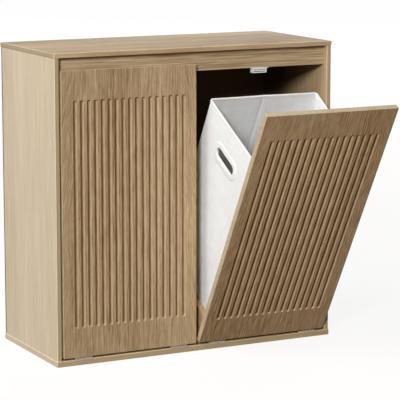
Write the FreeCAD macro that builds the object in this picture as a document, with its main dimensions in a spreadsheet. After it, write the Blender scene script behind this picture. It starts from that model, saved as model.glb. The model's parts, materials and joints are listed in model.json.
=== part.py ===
"""Tilt-out linen cabinet: an oak-look carcass with two fluted doors that tip forward on bottom hinges.

Millimetres, +Z up, front towards -Y, origin at the centre of the bottom panel's underside.
Each tilt-out unit (door, tray and bag) is drawn about its own hinge axis with the door upright, then
seated in the cabinet: the left one closed, the right one tipped out to its stop.
"""
import FreeCAD, Part
import math
import os
import re
import Sketcher

Vector = FreeCAD.Vector
Rotation = FreeCAD.Rotation

# Driving dimensions, in millimetres and degrees
SIZES = {
    # Carcass
    "cabinet_width": 800,
    "cabinet_depth": 360,
    "cabinet_height": 800,
    "board_thickness": 15,
    "side_thickness": 12,
    "top_thickness": 12,
    "back_thickness": 5,
    "back_inset": 3,
    "board_overhang": 1.5,
    "front_overhang": 1,
    "edge_radius": 1.5,
    # Doors
    "door_thickness": 16,
    "door_back_gap": 1.5,
    "door_side_gap": 5.5,
    "door_centre_gap": 6,
    "door_bottom_gap": 5,
    "finger_gap": 32,
    "rail_lap": 19,
    "tilt_angle": 29.5,
    # Flutes
    "flute_pitch": 19,
    "flute_radius": 5.5,
    "flute_depth": 5,
    "flute_side_margin": 37,
    "flute_end_margin": 76,
    # Hinges
    "hinge_length": 50,
    "hinge_inset": 53,
    "hinge_axis_forward": 1.2,
    "hinge_leaf_depth": 16,
    "hinge_leaf_thickness": 1.2,
    "hinge_knuckle_clearance": 0.4,
    "hinge_knuckle_wall": 0.9,
    "hinge_end_play": 0.1,
    "hinge_pin_clearance": 0.05,
    "hinge_screw_spread": 26,
    # Tray on the back of each door
    "tray_lift": 2,
    "tray_thickness": 15,
    "tray_floor_thickness": 12,
    "tray_height": 62,
    "tray_side_inset": 13.5,
    "tray_rear_clearance": 22,
    "tray_dowel_edge": 15,
    "tray_dowel_radius": 3,
    "tray_dowel_length": 24,
    "tray_screw_length": 40,
    # Bag
    "bag_gap": 1.5,
    "bag_seat_gap": 0.3,
    "bag_wall": 3,
    "bag_swing_clearance": 57,
    "bag_rim_height": 6,
    "bag_rim_lap": 1,
    "handle_drop": 92,
    "handle_length": 98,
    "handle_height": 26,
    "handle_neck": 2,
    "handle_flange": 16,
    "handle_flange_thickness": 2,
    # Magnetic catch and its strike plate
    "catch_length": 52,
    "catch_body_length": 41,
    "catch_depth": 14,
    "catch_height": 14,
    "catch_flange_thickness": 2,
    "catch_wall": 2.5,
    "catch_pole_thickness": 1.5,
    "strike_gap": 0.3,
    "strike_length": 38,
    "strike_height": 14,
    # Stop pegs
    "peg_radius": 5,
    "peg_overlap": 11,
    "peg_clearance": 0.3,
    "peg_setback": 78,
    # Flat-pack fittings
    "blind_skin": 3,
    "side_skin": 2,
    "dowel_radius": 3,
    "dowel_length": 30,
    "dowel_spread": 82,
    "rail_dowel_pitch": 24,
    "cam_radius": 7.5,
    "cam_setback": 34,
    "cam_spread": 120,
    "cam_slot_width": 1.6,
    "cam_slot_depth": 1,
    "cam_bolt_radius": 3,
    "fitting_clearance": 0.05,
    # Screws
    "screw_radius": 1.4,
    "screw_head_radius": 2.6,
    "screw_head_height": 1.2,
    "screw_length": 11,
    "screw_recess_width": 0.7,
    "screw_recess_reach": 1.3,
    "screw_recess_depth": 0.8,
    "back_screw_edge": 60,
}
BACK_SCREW_ROWS = 4
KNUCKLE_COUNT = 5

# Derived dimensions, written as formulas of the driving ones
SIDE_OUTER = "(cabinet_width / 2 - board_overhang)"
SIDE_INNER = f"({SIDE_OUTER} - side_thickness)"
FRONT_Y = "(front_overhang - cabinet_depth / 2)"
DOOR_BACK_Y = f"({FRONT_Y} + door_thickness)"
RAIL_FRONT_Y = f"({DOOR_BACK_Y} + door_back_gap)"
BACK_FRONT_Y = "(cabinet_depth / 2 - back_inset - back_thickness)"
SIDE_DEPTH = f"({BACK_FRONT_Y} - {FRONT_Y})"
SIDE_HEIGHT = "(cabinet_height - top_thickness - board_thickness)"
TOP_UNDERSIDE_Z = "(cabinet_height - top_thickness)"
RAIL_HEIGHT = "(finger_gap + rail_lap)"
RAIL_BOTTOM_Z = f"({TOP_UNDERSIDE_Z} - {RAIL_HEIGHT})"
PIVOT_Y = f"({FRONT_Y} - hinge_axis_forward)"
PIVOT_Z = "(board_thickness + door_bottom_gap / 2)"

DOOR_WIDTH = f"({SIDE_INNER} - door_side_gap - door_centre_gap / 2)"
DOOR_HEIGHT = f"({TOP_UNDERSIDE_Z} - finger_gap - board_thickness - door_bottom_gap)"
UNIT_X = f"(door_centre_gap / 2 + {DOOR_WIDTH} / 2)"
FLUTE_SPAN = f"({DOOR_WIDTH} - 2 * flute_side_margin)"
FLUTE_COUNT = f"(floor({FLUTE_SPAN} / flute_pitch + 0.5) + 1)"

# Places in a tilt-out unit, measured from its hinge axis with the door upright
DOOR_FRONT = "hinge_axis_forward"
DOOR_BACK = "(hinge_axis_forward + door_thickness)"
DOOR_BOTTOM = "(door_bottom_gap / 2)"
TRAY_BOTTOM = f"({DOOR_BOTTOM} + tray_lift)"
TRAY_TOP = f"({TRAY_BOTTOM} + tray_height)"
TRAY_OUTER = f"({DOOR_WIDTH} / 2 - tray_side_inset)"
TRAY_INNER = f"({TRAY_OUTER} - tray_thickness)"
TRAY_DEPTH = f"({BACK_FRONT_Y} - {DOOR_BACK_Y} - tray_rear_clearance)"
BAG_WIDTH = f"(2 * ({TRAY_INNER} - bag_gap))"
BAG_DEPTH = f"({TRAY_DEPTH} - tray_thickness - 2 * bag_gap)"
BAG_FRONT = f"({DOOR_BACK} + bag_gap)"
BAG_BACK = f"({BAG_FRONT} + {BAG_DEPTH})"
BAG_BOTTOM = f"({TRAY_BOTTOM} + tray_floor_thickness + bag_seat_gap)"
BAG_SWING = f"({RAIL_BOTTOM_Z} - catch_height - {PIVOT_Z} - bag_swing_clearance)"
BAG_TOP = f"sqrt({BAG_SWING} ^ 2 - {BAG_BACK} ^ 2)"
BAG_WALL_TOP = f"({BAG_TOP} - bag_rim_height)"
HANDLE_Y = f"({BAG_FRONT} + {BAG_DEPTH} / 2)"
HANDLE_Z = f"({BAG_TOP} - handle_drop)"

KNUCKLE_RADIUS = "(door_bottom_gap / 2 - hinge_knuckle_clearance)"
PIN_RADIUS = f"({KNUCKLE_RADIUS} - hinge_knuckle_wall)"
BLIND_DEPTH = "(top_thickness - blind_skin)"
SIDE_POCKET = "(side_thickness - side_skin)"
CATCH_MIDDLE_Z = f"({RAIL_BOTTOM_Z} - (catch_height + catch_flange_thickness) / 2)"
STRIKE_THICKNESS = "(door_back_gap - strike_gap)"

# Turns that carry a primitive's own axis onto a direction
TURNS = {
    "+x": (Vector(0, 1, 0), 90),
    "-x": (Vector(0, 1, 0), -90),
    "+y": (Vector(1, 0, 0), -90),
    "-y": (Vector(1, 0, 0), 90),
    "+z": (Vector(1, 0, 0), 0),
    "-z": (Vector(1, 0, 0), 180),
}

doc = FreeCAD.newDocument("tilt_out_linen_cabinet")
sheet = doc.addObject("Spreadsheet::Sheet", "Sheet")
for row, (alias, size) in enumerate(SIZES.items(), start=1):
    sheet.set(f"A{row}", alias)
    sheet.set(f"B{row}", str(size))
    sheet.setAlias(f"B{row}", alias)
doc.recompute()

nodes = []


def formula(text):
    """The formula with every size name pointed at its cell."""
    return re.sub(r"[a-z_]+", lambda word: f"Sheet.{word[0]}" if word[0] in SIZES else word[0], str(text))


def bind(thing, size, text):
    thing.setExpression(size, formula(text))


def bind_base(thing, at):
    for axis, text in zip("xyz", at):
        bind(thing, f"Placement.Base.{axis}", text)


def node(label, thing):
    """Name a finished sub-part."""
    thing.Label = label
    nodes.append(thing)
    return thing


class Unit:
    """A tilt-out unit: its side of the cabinet and how far it is tipped at rest."""

    def __init__(self, name, sign, tilt):
        self.name = name
        self.sign = sign
        self.tilt = tilt
        self.x = f"({sign} * {UNIT_X})"

    def seat(self, thing, at=("0", "0", "0")):
        """Set a piece drawn about the hinge axis into the cabinet."""
        x, y, z = at
        turn = f"({self.tilt} * 1 deg)"
        thing.Placement = FreeCAD.Placement(Vector(), Rotation(Vector(1, 0, 0), 1))
        bind(thing, "Placement.Rotation.Angle", self.tilt)
        bind_base(thing, (
            f"{self.x} + {x}",
            f"{PIVOT_Y} + ({y}) * cos{turn} - ({z}) * sin{turn}",
            f"{PIVOT_Z} + ({y}) * sin{turn} + ({z}) * cos{turn}",
        ))
        return thing


UNITS = (Unit("left", -1, "0"), Unit("right", 1, "tilt_angle"))


def box(size, at):
    thing = doc.addObject("Part::Box", "Box")
    for side, text in zip(("Length", "Width", "Height"), size):
        bind(thing, side, text)
    bind_base(thing, at)
    return thing


def rod(radius, length, at, along="+z"):
    """A cylinder that starts at a point and runs along a direction."""
    thing = doc.addObject("Part::Cylinder", "Rod")
    bind(thing, "Radius", radius)
    bind(thing, "Height", length)
    thing.Placement = FreeCAD.Placement(Vector(), Rotation(*TURNS[along]))
    bind_base(thing, at)
    return thing


def cone(radius, end_radius, length, at, along):
    thing = doc.addObject("Part::Cone", "Cone")
    bind(thing, "Radius1", radius)
    bind(thing, "Radius2", end_radius)
    bind(thing, "Height", length)
    thing.Placement = FreeCAD.Placement(Vector(), Rotation(*TURNS[along]))
    bind_base(thing, at)
    return thing


def step(at, along, distance):
    """The point that lies a distance further along a direction."""
    moved = list(at)
    axis = "xyz".index(along[1])
    moved[axis] = f"{at[axis]} {along[0]} ({distance})"
    return tuple(moved)


def fuse(solids):
    thing = doc.addObject("Part::MultiFuse", "Fuse")
    thing.Shapes = solids
    return thing


def group(solids):
    thing = doc.addObject("Part::Compound", "Group")
    thing.Links = solids
    return thing


def cut(base, tools):
    thing = doc.addObject("Part::Cut", "Cut")
    thing.Base = base
    thing.Tool = group(tools)
    return thing


def origin_feature(body, role):
    return next(feature for feature in body.Origin.OriginFeatures if feature.Role == role)


def sketch_on(body, role, name):
    sketch = body.newObject("Sketcher::SketchObject", name)
    sketch.AttachmentSupport = [(origin_feature(body, role), "")]
    sketch.MapMode = "FlatFace"
    return sketch


def constrain(sketch, text, kind, *arguments):
    """Add a dimension to a sketch and bind it to a formula."""
    index = sketch.addConstraint(Sketcher.Constraint(kind, *arguments))
    bind(sketch, f"Constraints[{index}]", text)


def eased_board(size, at, eased="xyz"):
    """A board with a corner at a point and its edges along the given axes rounded over."""
    length, width, height = size
    body = doc.addObject("PartDesign::Body", "Board")
    sketch = sketch_on(body, "XY_Plane", "Outline")
    start = (Vector(0, 0, 0), Vector(100, 0, 0), Vector(100, 50, 0), Vector(0, 50, 0))
    for index, corner in enumerate(start):
        sketch.addGeometry(Part.LineSegment(corner, start[(index + 1) % len(start)]), False)
    for index in range(len(start)):
        sketch.addConstraint(Sketcher.Constraint("Coincident", index, 2, (index + 1) % len(start), 1))
        sketch.addConstraint(Sketcher.Constraint("Vertical" if index % 2 else "Horizontal", index))
    sketch.addConstraint(Sketcher.Constraint("Coincident", 0, 1, -1, 1))
    constrain(sketch, length, "DistanceX", 0, 1, 0, 2, start[1].x)
    constrain(sketch, width, "DistanceY", 1, 1, 1, 2, start[2].y)
    pad = body.newObject("PartDesign::Pad", "Thickness")
    pad.Profile = sketch
    bind(pad, "Length", height)
    doc.recompute()
    along = {"x": Vector(1, 0, 0), "y": Vector(0, 1, 0), "z": Vector(0, 0, 1)}
    picked = []
    for index, edge in enumerate(pad.Shape.Edges, start=1):
        direction = edge.tangentAt(edge.FirstParameter)
        if any(abs(direction.dot(along[axis])) > 0.9 for axis in eased):
            picked.append(f"Edge{index}")
    rounding = body.newObject("PartDesign::Fillet", "EasedEdges")
    rounding.Base = (pad, picked)
    bind(rounding, "Radius", "edge_radius")
    bind_base(body, at)
    return body


def add_flutes(body):
    """Rout a row of round-ended coves into the front of a door."""
    sketch = sketch_on(body, "YZ_Plane", "CoveProfile")
    bind(sketch, "AttachmentOffset.Base.x", "flute_depth - flute_radius")
    bind(sketch, "AttachmentOffset.Base.z", "flute_side_margin")
    radius, low, high = 5, 80, 600
    lower, upper = Vector(0, low + radius, 0), Vector(0, high - radius, 0)
    facing = Vector(0, 0, 1)
    axis = sketch.addGeometry(Part.LineSegment(Vector(0, low, 0), Vector(0, high, 0)), False)
    top = sketch.addGeometry(
        Part.ArcOfCircle(Part.Circle(upper, facing, radius), 0, math.pi / 2), False)
    wall = sketch.addGeometry(
        Part.LineSegment(lower + Vector(radius, 0, 0), upper + Vector(radius, 0, 0)), False)
    bottom = sketch.addGeometry(
        Part.ArcOfCircle(Part.Circle(lower, facing, radius), -math.pi / 2, 0), False)
    joins = ((axis, 2, top, 2), (top, 1, wall, 2), (wall, 1, bottom, 2), (bottom, 1, axis, 1))
    for join in joins:
        sketch.addConstraint(Sketcher.Constraint("Coincident", *join))
    for geometry, point in ((axis, 1), (axis, 2), (top, 3), (bottom, 3)):
        sketch.addConstraint(Sketcher.Constraint("PointOnObject", geometry, point, -2))
    sketch.addConstraint(Sketcher.Constraint("Vertical", wall))
    sketch.addConstraint(Sketcher.Constraint("Horizontal", top, 1, top, 3))
    sketch.addConstraint(Sketcher.Constraint("Horizontal", bottom, 2, bottom, 3))
    constrain(sketch, "flute_radius", "Radius", top, radius)
    constrain(sketch, "flute_end_margin", "DistanceY", -1, 1, axis, 1, low)
    constrain(sketch, f"{DOOR_HEIGHT} - flute_end_margin", "DistanceY", -1, 1, axis, 2, high)
    doc.recompute()
    plain_volume = body.Shape.Volume
    cove = body.newObject("PartDesign::Groove", "Cove")
    cove.Profile = sketch
    cove.ReferenceAxis = (sketch, ["V_Axis"])
    cove.Angle = 360
    flutes = body.newObject("PartDesign::LinearPattern", "Flutes")
    flutes.Originals = [cove]
    flutes.Direction = (origin_feature(body, "X_Axis"), [""])
    bind(flutes, "Length", FLUTE_SPAN)
    bind(flutes, "Occurrences", FLUTE_COUNT)
    body.Tip = flutes
    doc.recompute()
    if body.Shape.Volume >= plain_volume:
        raise RuntimeError("the flutes took nothing from the door")


def screw_parts(at, along, length, spare="0"):
    """The head and shank of a countersunk screw, its head face at a point."""
    return [
        cone(f"screw_head_radius + {spare}", f"screw_radius + {spare}", "screw_head_height", at, along),
        rod(f"screw_radius + {spare}", f"{length} - screw_head_height + {spare}",
            step(at, along, "screw_head_height"), along),
    ]


def cross_recess(at, along):
    """The two arms of the driver recess in a screw head whose face is at a point."""
    depth_axis = "xyz".index(along[1])
    arms = []
    for long_axis in range(3):
        if long_axis != depth_axis:
            size = ["screw_recess_width"] * 3
            size[depth_axis] = "2 * screw_recess_depth"
            size[long_axis] = "2 * screw_recess_reach"
            arms.append(box(size, [f"{place} - {side} / 2" for place, side in zip(at, size)]))
    return arms


def screw(at, along, length="screw_length"):
    return cut(fuse(screw_parts(at, along, length)), cross_recess(at, along))


def screw_hole(at, along, length="screw_length"):
    return screw_parts(at, along, length, "fitting_clearance")


def stadium(length, height, thickness, at):
    """A round-ended plate that lies along Y and is as thick as told along X, centred in Y and Z."""
    x, y, z = at
    flat = f"({length} - {height})"
    middle = box((thickness, flat, height), (x, f"{y} - {flat} / 2", f"{z} - ({height}) / 2"))
    ends = [rod(f"({height}) / 2", thickness, (x, f"{y} {side} {flat} / 2", z), "+x") for side in "-+"]
    return fuse([middle] + ends)


def fasten_sides():
    """Dowels and cam fittings of the four joints where a side meets the top or the bottom.

    Returns the fittings and the holes that they need in each board.
    """
    dowels, bolts, cams = [], [], []
    holes = {"top": [], "bottom": [], "left": [], "right": []}
    joints = ((TOP_UNDERSIDE_Z, "top", "+z", "-z"), ("board_thickness", "bottom", "-z", "+z"))
    for board, sign in (("left", "-"), ("right", "+")):
        middle_x = f"{sign} ({SIDE_INNER} + side_thickness / 2)"
        for joint_z, flat, outwards, inwards in joints:
            for side in "-+":
                dowel_at = (middle_x, f"{side} dowel_spread", joint_z)
                seat_at = step(dowel_at, outwards, BLIND_DEPTH)
                dowels.append(rod("dowel_radius", "dowel_length", seat_at, inwards))
                bore = rod("dowel_radius + fitting_clearance", "dowel_length", seat_at, inwards)
                bolt_at = (middle_x, f"{side} cam_spread", joint_z)
                bolt_end = step(bolt_at, outwards, BLIND_DEPTH)
                bolt_length = f"{BLIND_DEPTH} + cam_setback"
                bolts.append(rod("cam_bolt_radius", bolt_length, bolt_end, inwards))
                bolt_bore = rod("cam_bolt_radius + fitting_clearance", bolt_length, bolt_end, inwards)
                cam_mouth = (f"{sign} {SIDE_INNER}", f"{side} cam_spread", joint_z)
                cam_at = step(cam_mouth, inwards, "cam_setback")
                into_board = f"{sign}x"
                disc = rod("cam_radius", SIDE_POCKET, cam_at, into_board)
                slot = box(
                    ("2 * cam_slot_depth", "2 * cam_radius", "cam_slot_width"),
                    (f"{cam_at[0]} - cam_slot_depth", f"{cam_at[1]} - cam_radius",
                     f"{cam_at[2]} - cam_slot_width / 2"))
                cams.append(cut(disc, [slot, bolt_bore]))
                cam_bore = rod("cam_radius + fitting_clearance", SIDE_POCKET, cam_at, into_board)
                holes[flat] += [bore, bolt_bore]
                holes[board] += [bore, bolt_bore, cam_bore]
    return dowels, bolts, cams, holes


def fasten_divider():
    """Dowels that hold the centre divider between the top and the bottom."""
    dowels, bores = [], []
    for joint_z, outwards, inwards in ((TOP_UNDERSIDE_Z, "+z", "-z"), ("board_thickness", "-z", "+z")):
        for side in "-+":
            seat_at = step(("0", f"{side} dowel_spread", joint_z), outwards, BLIND_DEPTH)
            dowels.append(rod("dowel_radius", "dowel_length", seat_at, inwards))
            bores.append(rod("dowel_radius + fitting_clearance", "dowel_length", seat_at, inwards))
    return dowels, bores


def fasten_rail():
    """Dowels that hold the ends of the top rail in the two sides."""
    dowels = []
    bores = {"left": [], "right": []}
    for board, sign, inwards in (("left", "-", "+x"), ("right", "+", "-x")):
        for side in "-+":
            at = (f"{sign} ({SIDE_INNER} + {BLIND_DEPTH})", f"{RAIL_FRONT_Y} + board_thickness / 2",
                  f"{RAIL_BOTTOM_Z} + {RAIL_HEIGHT} / 2 {side} rail_dowel_pitch / 2")
            dowels.append(rod("dowel_radius", "dowel_length", at, inwards))
            bores[board].append(rod("dowel_radius + fitting_clearance", "dowel_length", at, inwards))
    return dowels, bores


def fasten_back():
    """Screws through the back panel into the rear edges of the sides and the divider."""
    screws = []
    holes = {"left": [], "centre": [], "right": []}
    places = {
        "left": f"- ({SIDE_INNER} + side_thickness / 2)",
        "centre": "0",
        "right": f"{SIDE_INNER} + side_thickness / 2",
    }
    for board, x in places.items():
        for row in range(BACK_SCREW_ROWS):
            share = row / (BACK_SCREW_ROWS - 1)
            z = f"board_thickness + back_screw_edge + {share} * ({SIDE_HEIGHT} - 2 * back_screw_edge)"
            at = (x, f"{BACK_FRONT_Y} + back_thickness", z)
            screws.append(screw(at, "-y"))
            holes[board] += screw_hole(at, "-y")
    return screws, holes


def catch(unit):
    """A magnetic catch under the rail: housing, magnet, two pole plates and two screws."""
    flange = box(
        ("catch_length", "catch_depth", "catch_flange_thickness"),
        (f"{unit.x} - catch_length / 2", RAIL_FRONT_Y, f"{RAIL_BOTTOM_Z} - catch_flange_thickness"))
    shell = box(
        ("catch_body_length", "catch_depth", "catch_height - catch_flange_thickness"),
        (f"{unit.x} - catch_body_length / 2", RAIL_FRONT_Y, f"{RAIL_BOTTOM_Z} - catch_height"))
    pocket_length = "(catch_body_length - 2 * catch_wall)"
    pocket_height = "(catch_height - catch_flange_thickness - 2 * catch_wall)"
    pocket_z = f"{RAIL_BOTTOM_Z} - catch_height + catch_wall"
    pocket_at = (f"{unit.x} - {pocket_length} / 2", RAIL_FRONT_Y, pocket_z)
    pocket_depth = "(catch_depth - catch_wall)"
    pocket = box((pocket_length, pocket_depth, pocket_height), pocket_at)
    screws, screw_bores = [], []
    for side in "-+":
        ear_x = f"{unit.x} {side} (catch_length + catch_body_length) / 4"
        ear_at = (ear_x, f"{RAIL_FRONT_Y} + catch_depth / 2", f"{RAIL_BOTTOM_Z} - catch_flange_thickness")
        screws.append(screw(ear_at, "+z"))
        screw_bores += screw_hole(ear_at, "+z")
    housing = cut(fuse([flange, shell]), [pocket] + screw_bores)
    node(f"{unit.name}_catch_housing", housing)
    x, y, z = pocket_at
    plate = (pocket_length, pocket_depth, "catch_pole_thickness")
    poles = [
        box(plate, pocket_at),
        box(plate, (x, y, f"{z} + {pocket_height} - catch_pole_thickness")),
    ]
    magnet = box(
        (pocket_length, f"{pocket_depth} - catch_wall", f"{pocket_height} - 2 * catch_pole_thickness"),
        (x, f"{y} + catch_wall", f"{z} + catch_pole_thickness"))
    return magnet, poles, screws, screw_bores


def hinge_leaf(centre_x, first_knuckle, sign):
    """One leaf of a butt hinge about the local hinge axis; sign is + for the leaf under the door.

    Returns the leaf, its two screws and the holes that the screws need.
    """
    reach = f"({KNUCKLE_RADIUS} + hinge_knuckle_clearance)"
    under = f"{sign} door_bottom_gap / 2"
    lower = f"{under} - hinge_leaf_thickness" if sign == "+" else under
    left_x = f"{centre_x} - hinge_length / 2"
    flat = ("hinge_length", f"hinge_leaf_depth - {reach}", "hinge_leaf_thickness")
    pieces = [box(flat, (left_x, reach, lower))]
    share = f"hinge_length / {KNUCKLE_COUNT}"
    knuckle_length = f"{share} - 2 * hinge_end_play"
    for index in range(first_knuckle, KNUCKLE_COUNT, 2):
        start_x = f"{left_x} + {index} * {share} + hinge_end_play"
        pieces.append(box((knuckle_length, reach, "hinge_leaf_thickness"), (start_x, "0", lower)))
        pieces.append(rod(KNUCKLE_RADIUS, knuckle_length, (start_x, "0", "0"), "+x"))
    pin_bore = rod(f"{PIN_RADIUS} + hinge_pin_clearance", "hinge_length", (left_x, "0", "0"), "+x")
    face_z = f"{under} {'-' if sign == '+' else '+'} hinge_leaf_thickness"
    into_board = f"{sign}z"
    screws, screw_bores = [], []
    for side in "-+":
        at = (f"{centre_x} {side} hinge_screw_spread / 2", f"({reach} + hinge_leaf_depth) / 2", face_z)
        screws.append(screw(at, into_board))
        screw_bores += screw_hole(at, into_board)
    return cut(fuse(pieces), [pin_bore] + screw_bores), screws, screw_bores


def hinge_centres():
    offset = f"({DOOR_WIDTH} / 2 - hinge_inset)"
    return (f"(- {offset})", offset)


def fixed_hinges(unit):
    """The cabinet's half of a unit's hinges, which stays level whatever the door does."""
    leaves, pins, screws, bores = [], [], [], []
    for centre_x in hinge_centres():
        leaf, leaf_screws, leaf_bores = hinge_leaf(centre_x, 0, "-")
        leaves.append(leaf)
        screws += leaf_screws
        bores += leaf_bores
        pins.append(rod(PIN_RADIUS, "hinge_length", (f"{centre_x} - hinge_length / 2", "0", "0"), "+x"))
    return [level(unit, group(solids)) for solids in (leaves, pins, screws, bores)]


def level(unit, thing):
    """Set a piece drawn about a unit's hinge axis into the cabinet without tipping it."""
    bind_base(thing, (unit.x, PIVOT_Y, PIVOT_Z))
    return thing


def stop_peg_place():
    """Where a stop peg's axis lies, so that the open tray's top edge comes to rest under it."""
    along = f"({DOOR_BACK} + {TRAY_DEPTH} - peg_setback)"
    above = f"({TRAY_TOP} + peg_radius + peg_clearance)"
    turn = "(tilt_angle * 1 deg)"
    return (f"{PIVOT_Y} + {along} * cos{turn} - {above} * sin{turn}",
            f"{PIVOT_Z} + {along} * sin{turn} + {above} * cos{turn}")


def stop_pegs():
    """Two pegs let into the sides and one through the divider, with the holes that they need."""
    y, z = stop_peg_place()
    side_length = f"{SIDE_POCKET} + {SIDE_INNER} - ({UNIT_X} + {TRAY_OUTER}) + peg_overlap"
    pegs, bores = [], {}
    for board, sign, inwards in (("left", "-", "+x"), ("right", "+", "-x")):
        at = (f"{sign} ({SIDE_INNER} + {SIDE_POCKET})", y, z)
        pegs.append(rod("peg_radius", side_length, at, inwards))
        bores[board] = rod("peg_radius + fitting_clearance", SIDE_POCKET, at, inwards)
    half = f"({UNIT_X} - {TRAY_OUTER} + peg_overlap)"
    at = (f"- {half}", y, z)
    divider_peg = rod("peg_radius", f"2 * {half}", at, "+x")
    bores["centre"] = rod("peg_radius + fitting_clearance", f"2 * {half}", at, "+x")
    return pegs, divider_peg, bores


def build_carcass():
    dowels, bolts, cams, holes = fasten_sides()
    divider_dowels, divider_bores = fasten_divider()
    rail_dowels, rail_bores = fasten_rail()
    back_screws, back_holes = fasten_back()
    pegs, divider_peg, peg_bores = stop_pegs()
    magnets, poles, catch_screws, catch_bores = [], [], [], []
    fixed_leaves, pins, leaf_screws, leaf_bores = [], [], [], []
    for unit in UNITS:
        magnet, unit_poles, unit_screws, unit_bores = catch(unit)
        magnets.append(magnet)
        poles += unit_poles
        catch_screws += unit_screws
        catch_bores += unit_bores
        leaves, unit_pins, hinge_screws, hinge_bores = fixed_hinges(unit)
        fixed_leaves.append(leaves)
        pins.append(unit_pins)
        leaf_screws.append(hinge_screws)
        leaf_bores.append(hinge_bores)

    full_board = ("cabinet_width", "cabinet_depth")
    corner = ("- cabinet_width / 2", "- cabinet_depth / 2")
    top = eased_board(full_board + ("top_thickness",), corner + (TOP_UNDERSIDE_Z,))
    node("top_panel", cut(top, holes["top"] + divider_bores))
    bottom = eased_board(full_board + ("board_thickness",), corner + ("0",))
    node("bottom_panel", cut(bottom, holes["bottom"] + divider_bores + leaf_bores))
    for board, x in (("left", f"- {SIDE_OUTER}"), ("right", SIDE_INNER)):
        side = eased_board(
            ("side_thickness", SIDE_DEPTH, SIDE_HEIGHT), (x, FRONT_Y, "board_thickness"), eased="z")
        bores = holes[board] + rail_bores[board] + back_holes[board] + [peg_bores[board]]
        node(f"{board}_side_panel", cut(side, bores))
    divider_front = f"({RAIL_FRONT_Y} + board_thickness)"
    divider = box(
        ("board_thickness", f"{BACK_FRONT_Y} - {divider_front}", SIDE_HEIGHT),
        ("- board_thickness / 2", divider_front, "board_thickness"))
    node("centre_divider", cut(divider, divider_bores + back_holes["centre"] + [peg_bores["centre"]]))
    back = box(
        (f"2 * {SIDE_OUTER}", "back_thickness", SIDE_HEIGHT),
        (f"- {SIDE_OUTER}", BACK_FRONT_Y, "board_thickness"))
    node("back_panel", cut(back, [hole for board in back_holes.values() for hole in board]))
    rail = box(
        (f"2 * {SIDE_INNER}", "board_thickness", RAIL_HEIGHT),
        (f"- {SIDE_INNER}", RAIL_FRONT_Y, RAIL_BOTTOM_Z))
    node("top_rail", cut(rail, rail_bores["left"] + rail_bores["right"] + catch_bores))

    node("cam_discs", group(cams))
    node("cam_bolts", group(bolts))
    node("carcass_dowels", group(dowels + divider_dowels + rail_dowels))
    node("back_panel_screws", group(back_screws))
    node("side_stop_pegs", group(pegs))
    node("divider_stop_peg", divider_peg)
    node("catch_magnets", group(magnets))
    node("catch_pole_plates", group(poles))
    node("catch_screws", group(catch_screws))
    node("hinge_fixed_leaves", group(fixed_leaves))
    node("hinge_pins", group(pins))
    node("hinge_fixed_screws", group(leaf_screws))


def tray_dowels():
    """Dowels that join the tray's sides and floor to the back of the door."""
    cheek_x = f"({TRAY_INNER} + tray_thickness / 2)"
    places = []
    for side in "-+":
        for z in (f"{TRAY_BOTTOM} + tray_dowel_edge", f"{TRAY_TOP} - tray_dowel_edge"):
            places.append((f"{side} {cheek_x}", z))
        places.append((f"{side} {TRAY_INNER} / 2", f"{TRAY_BOTTOM} + tray_floor_thickness / 2"))
    dowels, bores = [], []
    for x, z in places:
        at = (x, f"{DOOR_BACK} - {BLIND_DEPTH}", z)
        dowels.append(rod("tray_dowel_radius", "tray_dowel_length", at, "+y"))
        bores.append(rod("tray_dowel_radius + fitting_clearance", "tray_dowel_length", at, "+y"))
    return dowels, bores


def tray_screws():
    """Screws through the tray's sides into its floor and its back."""
    floor_z = f"{TRAY_BOTTOM} + tray_floor_thickness / 2"
    back_y = f"{DOOR_BACK} + {TRAY_DEPTH} - tray_thickness / 2"
    places = [
        (f"{DOOR_BACK} + {TRAY_DEPTH} / 4", floor_z),
        (f"{DOOR_BACK} + {TRAY_DEPTH} * 3 / 4", floor_z),
        (back_y, f"({TRAY_BOTTOM} + tray_floor_thickness + {TRAY_TOP}) / 2"),
    ]
    screws, bores = [], []
    for sign, inwards in (("-", "+x"), ("+", "-x")):
        for y, z in places:
            at = (f"{sign} {TRAY_OUTER}", y, z)
            screws.append(screw(at, inwards, "tray_screw_length"))
            bores += screw_hole(at, inwards, "tray_screw_length")
    return screws, bores


def build_tray(unit, dowel_bores):
    """The box on the back of the door that the bag stands in."""
    screws, screw_bores = tray_screws()
    bores = dowel_bores + screw_bores
    for side, x in (("left", f"- {TRAY_OUTER}"), ("right", TRAY_INNER)):
        cheek = box(("tray_thickness", TRAY_DEPTH, "tray_height"), (x, DOOR_BACK, TRAY_BOTTOM))
        node(f"{unit.name}_tray_{side}_side", unit.seat(cut(cheek, bores)))
    floor = box(
        (f"2 * {TRAY_INNER}", TRAY_DEPTH, "tray_floor_thickness"),
        (f"- {TRAY_INNER}", DOOR_BACK, TRAY_BOTTOM))
    node(f"{unit.name}_tray_floor", unit.seat(cut(floor, bores)))
    back = box(
        (f"2 * {TRAY_INNER}", "tray_thickness", "tray_height - tray_floor_thickness"),
        (f"- {TRAY_INNER}", f"{DOOR_BACK} + {TRAY_DEPTH} - tray_thickness",
         f"{TRAY_BOTTOM} + tray_floor_thickness"))
    node(f"{unit.name}_tray_back", unit.seat(cut(back, screw_bores)))
    node(f"{unit.name}_tray_screws", unit.seat(group(screws)))


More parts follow.
